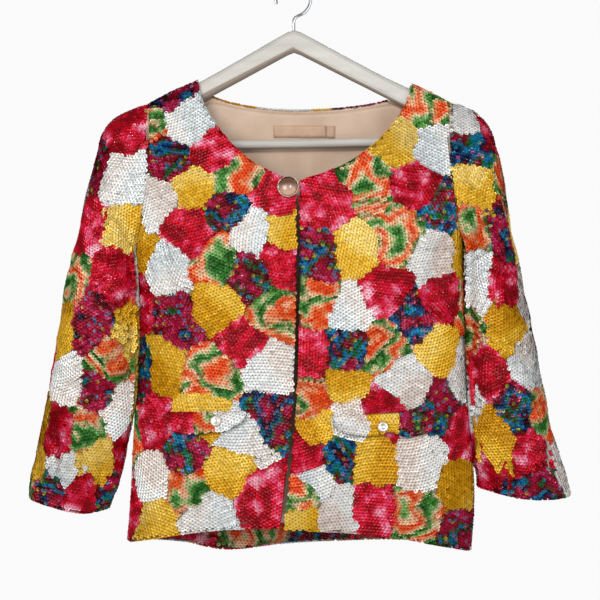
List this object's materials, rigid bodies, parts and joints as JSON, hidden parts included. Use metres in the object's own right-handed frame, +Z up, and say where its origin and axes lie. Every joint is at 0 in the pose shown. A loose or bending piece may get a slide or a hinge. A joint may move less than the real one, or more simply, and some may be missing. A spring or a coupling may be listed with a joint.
{
  "type": "sequined jacket on a hanger",
  "caption": "Cropped collarless open-front jacket with three-quarter sleeves and pocket flaps, covered in patches of sequins, hung on a wooden hanger.",
  "frame": {"origin": "the point where a rail touches the inside of the hanger's hook, at the top of its arc", "axes": "+Z up, the front faces -Y, the wearer's right side is at -X"},
  "size_m": [0.679, 0.0995, 0.7221],
  "materials": {
    "sequined_cloth": "cloth covered in small cup sequins, yellow, white, pink, red and green",
    "lining_satin": "beige satin",
    "label_tape": "bare woven tape",
    "painted_wood": "white paint, satin",
    "steel": "bright wire",
    "gilt_metal": "polished",
    "glass_stone": "milky beige, polished",
    "pearl": "pearl"
  },
  "bodies": {
    "root": {"front_right": "sequined_cloth", "front_left": "sequined_cloth", "back": "sequined_cloth", "sleeve_right": "sequined_cloth", "sleeve_left": "sequined_cloth", "pocket_flap_right": "sequined_cloth", "pocket_flap_left": "sequined_cloth", "pocket_button_right": "pearl", "pocket_button_left": "pearl", "neck_button_setting": "gilt_metal", "neck_button_stone": "glass_stone", "back_lining": "lining_satin", "neck_label": "label_tape", "size_tab": "label_tape", "hanger_arms": "painted_wood", "trouser_bar": "painted_wood", "hook": "steel"}
  },
  "joints": []
}
